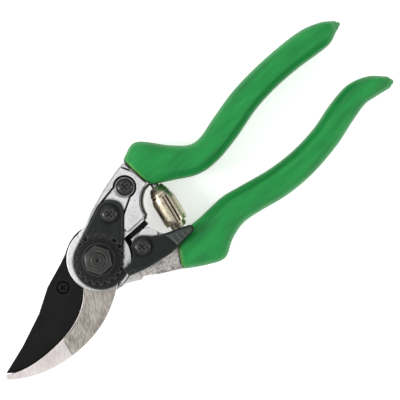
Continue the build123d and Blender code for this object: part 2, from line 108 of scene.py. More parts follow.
class RearZone(IntEnum):
    """The rear handle's zones, in the order of their finishes."""

    CAST = 0
    HEAD = 1
    BOSS = 2


def srgb(red: int, green: int, blue: int) -> Colour:
    """Linear colour of a screen colour.

    Args:
        red: red, 0 to 255.
        green: green, 0 to 255.
        blue: blue, 0 to 255.

    Returns:
        The linear red, green and blue.
    """
    parts = [value / 255 for value in (red, green, blue)]
    return tuple(p / 12.92 if p <= 0.04045 else ((p + 0.055) / 1.055) ** 2.4 for p in parts)


# ---------------------------------------------------------------- finishes
def fill_ramp(ramp: bpy.types.ColorRamp, stops: Iterable[tuple[float, Colour]]) -> None:
    """Give a new colour ramp its stops.

    Args:
        ramp: the ramp, with its first two stops.
        stops: pairs of place and colour.
    """
    for index, (place, colour) in enumerate(stops):
        stop = ramp.elements[index] if index < 2 else ramp.elements.new(place)
        stop.position = place
        stop.color = (*colour, 1.0)


class Graph:
    """One material's node tree, made a node at a time."""

    corner_samples: int = 6
    corner_span: dict[str, float] = {"From Min": 0.92, "From Max": 0.62, "To Min": 0.0, "To Max": 1.0}
    noise_span: dict[str, float] = {"From Min": 0.3, "From Max": 0.7}

    def __init__(self, name: str) -> None:
        """Start a material with only an output and a shader.

        Args:
            name: the material's name.
        """
        self.material = bpy.data.materials.new(name)
        self.material.use_nodes = True
        self.tree = self.material.node_tree
        self.tree.nodes.clear()
        self.shader = self.node("ShaderNodeBsdfPrincipled")
        output = self.node("ShaderNodeOutputMaterial")
        self.link(self.shader.outputs[0], output.inputs["Surface"])
        self.place = self.node("ShaderNodeTexCoord").outputs["Object"]

    def node(self, kind: str, **values: object) -> bpy.types.Node:
        """Add a node.

        Args:
            kind: the node's type.
            values: attributes of the node to set.

        Returns:
            The node.
        """
        made = self.tree.nodes.new(kind)
        for key, value in values.items():
            setattr(made, key, value)
        return made

    def link(self, source: Socket, target: Socket) -> None:
        """Join an output to an input."""
        self.tree.links.new(source, target)

    def noise(self, per_mm: float, detail: float, stretch: Triple = (1, 1, 1), turn: float = 0.0) -> Socket:
        """Noise in the object's own coordinates.

        Args:
            per_mm: how many grains a millimetre holds.
            detail: octaves of the noise.
            stretch: scale of the coordinates along each axis.
            turn: turn of the pattern about Z, in degrees.

        Returns:
            The noise's value.
        """
        mapping = self.node("ShaderNodeMapping")
        mapping.inputs["Rotation"].default_value = (0, 0, math.radians(turn))
        spread = self.node("ShaderNodeMapping")
        spread.inputs["Scale"].default_value = stretch
        self.link(self.place, mapping.inputs["Vector"])
        self.link(mapping.outputs[0], spread.inputs["Vector"])
        made = self.node("ShaderNodeTexNoise")
        made.inputs["Scale"].default_value = per_mm / MM
        made.inputs["Detail"].default_value = detail
        self.link(spread.outputs[0], made.inputs["Vector"])
        return made.outputs["Fac"]

    def ramp(self, value: Socket, stops: Iterable[tuple[float, Colour]]) -> Socket:
        """Colours for a value.

        Args:
            value: the value, 0 to 1.
            stops: pairs of place and colour.

        Returns:
            The colour.
        """
        made = self.node("ShaderNodeValToRGB")
        fill_ramp(made.color_ramp, stops)
        self.link(value, made.inputs["Fac"])
        return made.outputs["Color"]

    def remap(self, value: Socket, limits: dict[str, float]) -> Socket:
        """A value moved from one span to another.

        Args:
            value: the value.
            limits: the spans' ends, by the node's own names for them.

        Returns:
            The moved value.
        """
        made = self.node("ShaderNodeMapRange")
        for key, number in limits.items():
            made.inputs[key].default_value = number
        self.link(value, made.inputs["Value"])
        return made.outputs["Result"]

    def span(self, value: Socket, low: float, high: float) -> Socket:
        """A noise's value moved to low..high."""
        return self.remap(value, self.noise_span | {"To Min": low, "To Max": high})

    def blend(self, amount: Socket | float, one: Socket, other: Socket | Colour) -> Socket:
        """Mix of two colours.

        Args:
            amount: how much of the second there is, 0 to 1.
            one: the first colour.
            other: the second colour.

        Returns:
            The mixed colour.
        """
        made = self.node("ShaderNodeMix", data_type="RGBA")
        self.link(one, made.inputs["A"])
        if isinstance(amount, float):
            made.inputs["Factor"].default_value = amount
        else:
            self.link(amount, made.inputs["Factor"])
        if isinstance(other, tuple):
            made.inputs["B"].default_value = (*other, 1.0)
        else:
            self.link(other, made.inputs["B"])
        return made.outputs["Result"]

    def bump(
        self, height: Socket, depth: float, strength: float = 1.0, after: Socket | None = None
    ) -> Socket:
        """Bump the shader's normal.

        Args:
            height: the relief's value.
            depth: the relief's depth, in millimetres.
            strength: how much of it shows.
            after: the bump that this one adds to, or None.

        Returns:
            The bumped normal.
        """
        made = self.node("ShaderNodeBump")
        made.inputs["Distance"].default_value = depth * MM
        made.inputs["Strength"].default_value = strength
        self.link(height, made.inputs["Height"])
        if after is not None:
            self.link(after, made.inputs["Normal"])
        self.link(made.outputs["Normal"], self.shader.inputs["Normal"])
        return made.outputs["Normal"]

    def corners(self, reach: float, wear_and_glint: bool = False) -> Socket:
        """Where a surface has corners.

        Args:
            reach: how far from a corner it still counts, in millimetres.
            wear_and_glint: outer edges, where a finish wears and where painted glints go, in place of inner
                corners, where painted shade goes.

        Returns:
            0 in the open and 1 at a corner.
        """
        made = self.node(
            "ShaderNodeAmbientOcclusion", samples=self.corner_samples, inside=wear_and_glint, only_local=wear_and_glint
        )
        made.inputs["Distance"].default_value = reach * MM
        return self.remap(made.outputs["AO"], self.corner_span)

    def surface(self, colour: Socket, roughness: Socket, **values: float | tuple[float, ...]) -> None:
        """Set the shader.

        Args:
            colour: its base colour.
            roughness: its roughness.
            values: its uniform sockets, with underscores for spaces.
        """
        self.link(colour, self.shader.inputs["Base Color"])
        self.link(roughness, self.shader.inputs["Roughness"])
        self.set(**values)

    def set(self, **values: float | tuple[float, ...]) -> None:
        """Set the shader's own sockets, with underscores for spaces."""
        for key, value in values.items():
            self.shader.inputs[key.replace("_", " ")].default_value = value


@dataclass(frozen=True)
class Finish:
    """A finish, made as a material once and then found by its name."""

    name: str

    def material(self) -> bpy.types.Material:
        """Make the material, or find it.

        Returns:
            The material, one for each name.
        """
        found = bpy.data.materials.get(self.name)
        if found:
            return found
        graph = Graph(self.name)
        self.dress(graph)
        return graph.material

    def dress(self, graph: Graph) -> None:
        """Build the finish's nodes.

        Args:
            graph: the material's nodes, with only an output and a shader.
        """
        raise NotImplementedError


@dataclass(frozen=True)
class Metal(Finish):
    """Bare or plated metal with a grain, cloudy patches, an uneven gloss and painted shade in its corners.
    """

    light: Colour
    dark: Colour
    gloss: Point
    grain: float = 1.2
    stretch: Triple = (1.0, 1.0, 1.0)
    turn: float = 0.0
    relief: float = 0.02
    # painted shade: a dark colour mixed in at inner corners and where parts meet
    corner_shade: Colour = srgb(44, 41, 38)
    corner_shade_reach: float = 1.3
    patch_grain: float = 0.12
    patch_share: float = 0.4

    def dress(self, graph: Graph) -> None:
        """Build the metal's nodes.

        Args:
            graph: the material's nodes.
        """
        cloud = graph.noise(self.patch_grain, 3.0)
        grain = graph.noise(self.grain, 6.0, self.stretch, self.turn)
        colour = graph.ramp(grain, [(0.3, self.dark), (0.65, self.light)])
        patch = graph.ramp(cloud, [(0.3, self.dark), (0.6, self.light)])
        colour = graph.blend(self.patch_share, colour, patch)
        # painted shade in corners and between parts
        colour = graph.blend(graph.corners(self.corner_shade_reach), colour, self.corner_shade)
        graph.surface(colour, graph.span(grain, *self.gloss), Metallic=1.0)
        graph.bump(grain, self.relief)


@dataclass(frozen=True)
class Coating(Finish):
    """Dark coated or oxidised steel: fine specks, a dusty variation, outer edges lightened partly by wear
    and partly as painted glints, and painted shade in recesses.
    """

    base: Colour
    speck: Colour
    gloss: Point
    grain: float
    relief: float
    shine: float
    # edge: lighter colour on outer edges, partly wear and partly painted glint
    edge: Colour
    dust_grain: float = 0.15
    dust_share: float = 0.6
    dust_tone: float = 0.6
    wear_and_glint_reach: float = 0.45
    # painted shade in recesses: how far it reaches and how dark it is
    recess_shade_reach: float = 1.2
    recess_shade_tone: float = 0.3

    def tone(self, share: float) -> Colour:
        """The base colour, darkened to a share of itself."""
        return tuple(share * value for value in self.base)

    def dress(self, graph: Graph) -> None:
        """Build the coating's nodes.

        Args:
            graph: the material's nodes.
        """
        cloud = graph.noise(self.dust_grain, 4.0)
        grain = graph.noise(self.grain, 8.0)
        colour = graph.ramp(grain, [(0.55, self.base), (0.78, self.speck)])
        colour = graph.blend(graph.span(cloud, 0.0, self.dust_share), colour, self.tone(self.dust_tone))
        # outer edges lightened, partly wear and partly painted glint
        colour = graph.blend(graph.corners(self.wear_and_glint_reach, wear_and_glint=True), colour, self.edge)
        # painted shade darkens the recesses
        colour = graph.blend(graph.corners(self.recess_shade_reach), colour, self.tone(self.recess_shade_tone))
        graph.surface(colour, graph.span(cloud, *self.gloss), Specular_IOR_Level=self.shine)
        graph.bump(grain, self.relief)


@dataclass(frozen=True)
class Vinyl(Finish):
    """Dipped grip vinyl: streaked along its length, with a thin yellowish lip where it was cut."""

    name: str = "dipped_green_vinyl"
    base: Colour = srgb(20, 132, 58)
    deep: Colour = srgb(15, 114, 52)
    pale: Colour = srgb(30, 144, 66)
    lip: Colour = srgb(120, 158, 62)
    shade: Colour = srgb(8, 76, 34)
    shade_reach: float = 1.6
    streaks: Triple = (0.35, 1.6, 1.6)
    gloss: Point = (0.4, 0.52)

    def dress(self, graph: Graph) -> None:
        """Build the vinyl's nodes.

        Args:
            graph: the material's nodes.
        """
        streak = graph.noise(0.16, 5.0, self.streaks)
        mottle = graph.noise(0.5, 4.0)
        fine = graph.noise(3.0, 3.0)
        colour = graph.ramp(streak, [(0.3, self.deep), (0.5, self.base), (0.72, self.pale)])
        colour = graph.blend(graph.span(mottle, 0.0, 0.35), colour, self.base)
        rim = graph.node("ShaderNodeAttribute", attribute_name=LIP_LAYER)
        colour = graph.blend(rim.outputs["Fac"], colour, self.lip)
        colour = graph.blend(graph.corners(self.shade_reach), colour, self.shade)
        graph.surface(colour, graph.span(mottle, *self.gloss), Specular_IOR_Level=0.3)
        waves = graph.bump(mottle, 0.1, 0.3)
        graph.bump(fine, 0.015, 0.5, waves)


BRIGHT_ALUMINIUM = Metal(
    "satin_aluminium", srgb(250, 250, 250), srgb(214, 214, 215),
    gloss=(0.26, 0.4), grain=1.4, stretch=(0.8, 1.2, 1.0), turn=20.0, relief=0.006,
)
GROUND_CARRIER = Metal(
    "ground_carrier", srgb(206, 199, 190), srgb(112, 106, 100),
    gloss=(0.3, 0.46), grain=1.5, stretch=(0.3, 1.5, 1.0), turn=-58.0,
)
CAST_ALUMINIUM = Metal(
    "as_cast_aluminium", srgb(222, 218, 214), srgb(66, 62, 60), gloss=(0.36, 0.58), grain=0.9, relief=0.3,
)
HEAD_ALUMINIUM = Metal(
    "worn_aluminium", srgb(240, 238, 236), srgb(184, 180, 178),
    gloss=(0.3, 0.48), grain=1.1, stretch=(0.7, 1.3, 1.0), turn=35.0,
)
HOOK_STEEL = Metal(
    "ground_hook_steel", srgb(242, 234, 232), srgb(220, 210, 208),
    gloss=(0.26, 0.4), stretch=(0.3, 2.0, 1.0), turn=-62.0, relief=0.008,
)
BRIGHT_STEEL = Metal("polished_steel", srgb(205, 205, 205), srgb(150, 150, 150), gloss=(0.22, 0.35))
BRONZE = Metal(
    "sintered_bronze", srgb(190, 140, 84), srgb(140, 98, 56), gloss=(0.4, 0.55), grain=2.0, relief=0.03,
)
SPRING_STRIP = Metal(
    "nickel_spring_strip", srgb(218, 208, 186), srgb(150, 139, 118),
    gloss=(0.26, 0.38), stretch=(1.6, 0.5, 1.6), turn=-11.0, relief=0.006,
    # painted shade in the strip's corners and between its turns
    corner_shade=srgb(34, 28, 20), corner_shade_reach=0.8,
)
# painted shade: a dark colour on the barrel's faces beside its seam, where the gap lies in shadow
SPRING_SEAM_SHADE = Metal(
    "painted_shade_spring_seam", srgb(52, 44, 32), srgb(28, 24, 18), gloss=(0.35, 0.5), relief=0.01,
)
# painted shade: a dark colour on the step round the head, the groove across the arm and the rim beside the
# spring
STEP_SHADE = Metal(
    "painted_shade_forged_step", srgb(66, 63, 60), srgb(34, 32, 31), gloss=(0.45, 0.6), grain=1.5,
)
FORGED_SKIN = Metal(
    "dark_forged_skin", srgb(138, 134, 128), srgb(72, 69, 66), gloss=(0.42, 0.58), grain=0.9, relief=0.15,
)
BLADE_BEVEL = Metal(
    "ground_cutting_bevel", srgb(190, 188, 186), srgb(140, 138, 136),
    gloss=(0.24, 0.36), grain=1.0, stretch=(2.4, 0.3, 1.0), relief=0.01,
)
BLADE_COATING = Coating(
    "matt_blade_coating", srgb(23, 23, 23), srgb(42, 42, 42),
    gloss=(0.5, 0.62), grain=3.0, relief=0.006, shine=0.1, edge=srgb(40, 40, 40),
)
BLACK_OXIDE = Coating(
    "glossy_black_oxide", srgb(15, 15, 15), srgb(44, 42, 41),
    gloss=(0.2, 0.32), grain=1.8, relief=0.012, shine=0.4, edge=srgb(84, 80, 77),
)
NUT_OXIDE = Coating(
    "oiled_black_oxide", srgb(28, 27, 26), srgb(64, 61, 58),
    gloss=(0.2, 0.34), grain=1.2, relief=0.02, shine=0.55, edge=srgb(118, 112, 106),
)
DISC_OXIDE = Coating(
    "dull_black_oxide", srgb(16, 16, 16), srgb(40, 39, 38),
    gloss=(0.36, 0.5), grain=2.0, relief=0.012, shine=0.25, edge=srgb(100, 98, 94),
)
CATCH_COATING = Coating(
    "green_grey_coating", srgb(22, 28, 26), srgb(44, 52, 48),
    gloss=(0.4, 0.55), grain=2.2, relief=0.01, shine=0.22, edge=srgb(84, 92, 88),
)
# the thumb pad's top in a lighter coating: partly wear, partly painted highlight
PAD_WEAR_AND_HIGHLIGHT = Coating(
    "worn_and_highlit_pad_coating", srgb(48, 56, 52), srgb(72, 80, 75),
    gloss=(0.34, 0.48), grain=1.6, relief=0.015, shine=0.45, edge=srgb(96, 104, 98),
)
BUFFER_RUBBER = Coating(
    "moulded_rubber", srgb(18, 18, 18), srgb(30, 30, 30),
    gloss=(0.6, 0.75), grain=1.5, relief=0.02, shine=0.1, edge=srgb(34, 34, 34),
)
GRIP_VINYL = Vinyl()


# ---------------------------------------------------------------- mesh work
def is_sharp(edge: bmesh.types.BMEdge, degrees: float) -> bool:
    """Whether two faces meet at an edge by more than an angle."""
    return edge.is_manifold and edge.calc_face_angle(0.0) > math.radians(degrees)


def sharp_edges(mesh: bmesh.types.BMesh, degrees: float = SHARP_ANGLE) -> Edges:
    """The mesh's edges that are sharper than an angle."""
    return [edge for edge in mesh.edges if is_sharp(edge, degrees)]


def merged_copy(node: str) -> bmesh.types.BMesh:
    """A copy of a CAD node's mesh with its loose triangles joined and its flat faces made whole.

    Args:
        node: the node's name.

    Returns:
        The mesh, which the caller finishes.
    """
    mesh = bmesh.new()
    mesh.from_mesh(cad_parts[node].data)
    bmesh.ops.remove_doubles(mesh, verts=mesh.verts, dist=MERGE_GAP * MM)
    bmesh.ops.dissolve_limit(
        mesh, angle_limit=math.radians(FLAT_ANGLE), verts=mesh.verts, edges=mesh.edges
    )
    return mesh


def round_edges(
    mesh: bmesh.types.BMesh, edges: Edges, radius: float, segments: int = 2, finish: int = -1
) -> None:
    """Round some edges.

    Args:
        mesh: the mesh.
        edges: the edges.
        radius: the radius, in millimetres.
        segments: faces across a rounded edge.
        finish: material index of the rounded faces, or -1 for their neighbours' one.
    """
    bmesh.ops.bevel(
        mesh, geom=edges, offset=radius * MM, offset_type="OFFSET", segments=segments, profile=0.5,
        affect="EDGES", clamp_overlap=finish < 0, material=finish,
    )


def worked_copy(node: str, radius: float, segments: int = 2) -> bmesh.types.BMesh:
    """A merged copy of a CAD node's mesh with its edges rounded.

    Args:
        node: the node's name.
        radius: radius of the rounded edges, in millimetres.
        segments: faces across a rounded edge.

    Returns:
        The mesh, which the caller finishes.
    """
    mesh = merged_copy(node)
    round_edges(mesh, sharp_edges(mesh), radius, segments)
    return mesh


def finished(
    mesh: bmesh.types.BMesh, name: str, finishes: list[Finish], smooth: float = SMOOTH_ANGLE
) -> bpy.types.Object:
    """Make an object of a finished mesh.

    Args:
        mesh: the mesh, which is freed.
        name: the piece's name.
        finishes: the finishes of its material indices, in order.
        smooth: angle in degrees below which faces are shaded as one.

    Returns:
        The object, at the origin.
    """
    data = bpy.data.meshes.new(name)
    mesh.to_mesh(data)
    mesh.free()
    for finish in finishes:
        data.materials.append(finish.material())
    data.shade_smooth()
    data.set_sharp_from_angle(angle=math.radians(smooth))
    made = bpy.data.objects.new(name, data)
    bpy.context.scene.collection.objects.link(made)
    return made


def settle(piece: bpy.types.Object, body: Body, slot: Slot, *nodes: str) -> None:
    """Let a piece ride on a body and stand for CAD nodes.

    Args:
        piece: the piece.
        body: the body that it moves with.
        slot: the record's material slot; not used.
        nodes: the nodes that it stands for.
    """
    if nodes:
        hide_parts(*nodes)
    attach(piece, body.value)
    LOG.info("%s: %d faces on %s", piece.name, len(piece.data.polygons), body.value)


def through(points: list[Vector], along: float) -> Vector:
    """A point on the smooth curve through points.

    Args:
        points: the points.
        along: 0 at the first and 1 at the last.

    Returns:
        The point.
    """
    place = min(max(along, 0.0), 1.0) * (len(points) - 1)
    index = min(int(place), len(points) - 2)
    t = place - index
    before = points[index - 1] if index else 2 * points[0] - points[1]
    a, b = points[index], points[index + 1]
    after = points[index + 2] if index + 2 < len(points) else 2 * points[-1] - points[-2]
    return 0.5 * (2 * a + (b - before) * t + (2 * before - 5 * a + 4 * b - after) * t**2
                  + (3 * a - before - 3 * b + after) * t**3)


# ---------------------------------------------------------------- sub-assemblies
@dataclass
class CarriedNode:
    """A CAD node whose shape is right, with worked edges and a real finish."""

    node: str
    body: Body
    slot: Slot
    finish: Finish
    edge: float
    segments: int = 2

    def build(self) -> None:
        """Make the piece, or dress the node itself where it has no worked edges."""
        if not self.edge:
            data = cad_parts[self.node].data
            data.materials.clear()
            data.materials.append(self.finish.material())
            LOG.info("%s: dressed", self.node)
            return
        mesh = worked_copy(self.node, self.edge, self.segments)
        piece = finished(mesh, f"{self.node}_worked", [self.finish])
        settle(piece, self.body, self.slot, self.node)


@dataclass
class DippedGrip:
    """A grip as dipping leaves it: a soft lip at the cut end and a nub at the tip."""

    node: str
    body: Body
    edges: list[tuple[Point, Point]]
    half_t: float = 8.9
    mid_z: float = 9.0
    squareness: float = 2.7
    stations: int = 72
    around: int = 36
    taper_start: float = 0.9
    taper_depth: float = 0.7
    inner: int = 1
    crease: float = 0.085
    crease_at: float = 0.62
    smooth: float = 60.0

    def section(self, along: float) -> tuple[Vector, Vector, Vector, float]:
        """Where a section lies.

        Args:
            along: 0 at the cut end and 1 at the tip.

        Returns:
            Its middle, its unit vector across, its unit vector ahead and its half height.
        """
        top = through([Vector((*pair[0], self.mid_z)) for pair in self.edges], along)
        bottom = through([Vector((*pair[1], self.mid_z)) for pair in self.edges], along)
        across = (top - bottom) / 2
        rounding = max(0.0, (along - self.taper_start) / (1.0 - self.taper_start))
        height = self.half_t * math.sqrt(1.0 - self.taper_depth * rounding**2)
        ahead = across.cross(Vector((0, 0, 1))).normalized()
        return (top + bottom) / 2, across, ahead, height

    def shape(self, ring: Ring, along: float, scale: float, push: float) -> None:
        """Lay a ring of vertices on a section.

        Args:
            ring: the vertices, in order.
            along: the section's place.
            scale: the ring's size on the section's.
            push: how far the ring moves ahead, in millimetres.
        """
        middle, across, ahead, height = self.section(along)
        for index, vert in enumerate(ring):
            angle = 2 * math.pi * index / len(ring)
            c, s = math.cos(angle), math.sin(angle)
            x = math.copysign(abs(c) ** (2 / self.squareness), c) * scale
            z = math.copysign(abs(s) ** (2 / self.squareness), s) * scale * height
            pinch = 1.0
            if abs(c * self.inner - self.crease_at) < math.pi / len(ring):
                pinch -= self.crease * math.sin(math.pi * along)
            vert.co = (middle + across * x * pinch + Vector((0, 0, z * pinch)) + ahead * push) * MM

    def build(self) -> None:
        """Extrude a ring from the recess at the cut end to the nub at the tip."""
        mesh = bmesh.new()
        lip = mesh.verts.layers.float.new(LIP_LAYER)
        ring = bmesh.ops.create_circle(mesh, cap_ends=False, segments=self.around, radius=1.0)["verts"]
        edges = list(mesh.edges)
        body = [(index / self.stations, 1.0, 0.0, 0.0) for index in range(1, self.stations + 1)]
        cut = [(0.0, *values) for values in CUT_END]
        tip = [(1.0, *values, 0.0) for values in TIP_NUB]
        for number, (along, scale, push, colour) in enumerate(cut + body + tip):
            if number:
                made = bmesh.ops.extrude_edge_only(mesh, edges=edges)["geom"]
                edges = [item for item in made if isinstance(item, bmesh.types.BMEdge) and item.is_boundary]
                ring = self.in_order(edges, ring)
            self.shape(ring, along, scale, push)
            for vert in ring:
                vert[lip] = colour
        bmesh.ops.holes_fill(mesh, edges=[edge for edge in mesh.edges if edge.is_boundary], sides=0)
        bmesh.ops.recalc_face_normals(mesh, faces=mesh.faces)
        piece = finished(mesh, f"{self.node}_dipped", [GRIP_VINYL], self.smooth)
        settle(piece, self.body, Slot.GRIP, self.node)

    @staticmethod
    def in_order(edges: Edges, ring: Ring) -> Ring:
        """The new ring's vertices in the order of the ring that they were extruded from.

        Args:
            edges: the new ring's edges.
            ring: the old ring.

        Returns:
            The new ring.
        """
        fresh = {vert for edge in edges for vert in edge.verts}
        return [
            next(edge.other_vert(old) for edge in old.link_edges if edge.other_vert(old) in fresh)
            for old in ring
        ]


@dataclass
class Handles:
    """The two forged handles, with their machined and as-cast zones."""

    head_r: float = 14.05
    face_z: float = 15.4
    arm_x: float = 17.0
    hollow: Point = (24.5, 12.5)
    carrier: Point = (-1.0, -2.0)
    rim_gap: float = 0.02
    rim_angle: float = 50.0
    rim_edge: float = 0.7
    front_edge: float = 0.45
    rear_edge: float = 0.5
    segments: int = 3
    upright: float = 0.5
    boss_z: float = 15.6
    step_z: Point = (15.42, 16.3)
    groove_z: Point = (14.4, 15.3)
    groove_x: float = 9.0
    steep: float = 0.85
    side_gap: float = 0.1
    rear_head_x: float = 8.2

    def on_rim(self, edge: bmesh.types.BMEdge) -> bool:
        """Whether an edge is an outer one of the front handle's arm.

        Args:
            edge: the edge.

        Returns:
            True where the arm has its rim.
        """
        places = [vert.co / MM for vert in edge.verts]
        at_face = all(abs(place.z - self.face_z) < self.rim_gap for place in places)
        on_arm = all(place.x > self.arm_x for place in places)
        return at_face and on_arm and is_sharp(edge, self.rim_angle) and edge.is_convex

    def on_side(self, place: Vector) -> bool:
        """Whether a place is on the sides of the front handle's arm, outside its round head."""
        beyond = place.x > 0 and math.hypot(place.x, place.y) > self.head_r + self.side_gap
        return beyond and place.z < self.groove_z[0]

    def on_carrier(self, place: Vector) -> bool:
        """Whether a place is on the flange that carries the hook."""
        outside = math.hypot(place.x, place.y) > self.head_r
        return outside and place.x < self.carrier[0] and place.y < self.carrier[1]

    def in_hollow(self, place: Vector) -> bool:
        """Whether a place is in the front handle's hollow beside the spring."""
        return place.x > self.hollow[0] and place.y < self.hollow[1]

    def in_step(self, place: Vector, normal: Vector) -> bool:
        """Whether a place is on the step round the head, or in the groove across the arm.

        Args:
            place: the place, in millimetres.
            normal: the face's normal there.

        Returns:
            True in the step or the groove.
        """
        if self.step_z[0] < place.z < self.step_z[1] and abs(normal.z) < self.steep:
            return True
        return self.groove_z[0] < place.z < self.groove_z[1] and place.x > self.groove_x

    def front_zone(self, face: bmesh.types.BMFace) -> FrontZone:
        """The zone of a face of the front handle.

        Args:
            face: the face, whose material index says whether it is on the rim.

        Returns:
            Its zone, never the rim.
        """
        place = face.calc_center_median() / MM
        if face.material_index == FrontZone.RIM:
            # the rim in the hollow beside the spring is given painted shade
            return FrontZone.SHADED_STEP if self.in_hollow(place) else FrontZone.MACHINED
        if self.on_carrier(place):
            return FrontZone.CARRIER
        if self.in_step(place, face.normal):
            # the step and the groove are given painted shade
            return FrontZone.SHADED_STEP
        if abs(face.normal.z) < self.upright and self.on_side(place):
            return FrontZone.SKIN
        return FrontZone.MACHINED

    def rear_zone(self, place: Vector) -> RearZone:
        """The zone of a place on the rear handle.

        Args:
            place: the place, in millimetres.

        Returns:
            Its zone.
        """
        if place.z > self.boss_z:
            return RearZone.BOSS
        return RearZone.HEAD if place.x < self.rear_head_x else RearZone.CAST

    def build(self) -> None:
        """Make both handles."""
        front = merged_copy("front_handle")
        rim = [edge for edge in front.edges if self.on_rim(edge)]
        round_edges(front, rim, self.rim_edge, finish=FrontZone.RIM)
        round_edges(front, sharp_edges(front), self.front_edge, self.segments)
        for face in front.faces:
            face.material_index = self.front_zone(face)
        finishes = [BRIGHT_ALUMINIUM, GROUND_CARRIER, STEP_SHADE, FORGED_SKIN]
        piece = finished(front, "front_handle_forged", finishes)
        settle(piece, Body.FRONT, Slot.FRONT, "front_handle")
        rear = worked_copy("rear_handle", self.rear_edge, self.segments)
        for face in rear.faces:
            face.material_index = self.rear_zone(face.calc_center_median() / MM)
        piece = finished(rear, "rear_handle_forged", [CAST_ALUMINIUM, HEAD_ALUMINIUM, BRIGHT_ALUMINIUM])
        settle(piece, Body.REAR, Slot.REAR, "rear_handle")


@dataclass
class Blades:
    """The cutting blade with its ground bevel, and the hook."""

    tip: Point = (-62.9, -9.5)
    heel: Point = (-12.4, -6.0)
    bevel: float = 5.0
    run_out: float = 8.0
    blade_z: float = 7.5
    line_gap: float = 0.05
    face_gap: float = 0.01
    slant: Point = (-0.97, -0.2)
    smooth: float = 20.0
    hook_edge: float = 0.45

    def build(self) -> None:
        """Make both blades."""
        blade = merged_copy("cutting_blade")
        self.grind(blade)
        piece = finished(blade, "cutting_blade_ground", [BLADE_COATING, BLADE_BEVEL], self.smooth)
        settle(piece, Body.REAR, Slot.BLADE, "cutting_blade")
        hook = worked_copy("counter_blade", self.hook_edge)
        piece = finished(hook, "counter_blade_ground", [HOOK_STEEL])
        settle(piece, Body.FRONT, Slot.HOOK, "counter_blade")

    def grind(self, mesh: bmesh.types.BMesh) -> None:
        """Slant the cutting side, from the back face to an edge at the front face.

        Args:
            mesh: the blade's mesh.
        """
        slope = (self.heel[1] - self.tip[1]) / (self.heel[0] - self.tip[0])
        for vert in mesh.verts:
            x, y, z = vert.co / MM
            below = y < self.tip[1] + slope * (x - self.tip[0]) + self.line_gap
            if below and abs(z - self.blade_z) < self.face_gap and x < self.heel[0]:
                ends = min(x - self.tip[0], self.heel[0] - x)
                vert.co.y += self.bevel * min(1.0, max(0.0, ends) / self.run_out) * MM
        mesh.normal_update()
        for face in mesh.faces:
            middle = face.calc_center_median() / MM
            if self.slant[0] < face.normal.z < self.slant[1] and middle.x < self.heel[0]:
                face.material_index = 1


@dataclass(frozen=True)
class Coil:
    """One end of the spring: a strip wound in a cone and then straight, inside the barrel.

    Attributes:
        name: the piece's name.
        body: the handle whose stud it stands on.
        tip_r: outer radius on the stud.
        inside_r: outer radius in the barrel.
        cone: height of the cone.
        turns: how often it is wound round.
    """

    name: str
    body: Body
    tip_r: float
    inside_r: float
    cone: float
    turns: int


LOWER_COIL = Coil("spring_lower_coil", Body.REAR, tip_r=3.2, inside_r=3.5, cone=1.2, turns=9)
UPPER_COIL = Coil("spring_upper_coil", Body.FRONT, tip_r=2.7, inside_r=4.3, cone=3.6, turns=11)


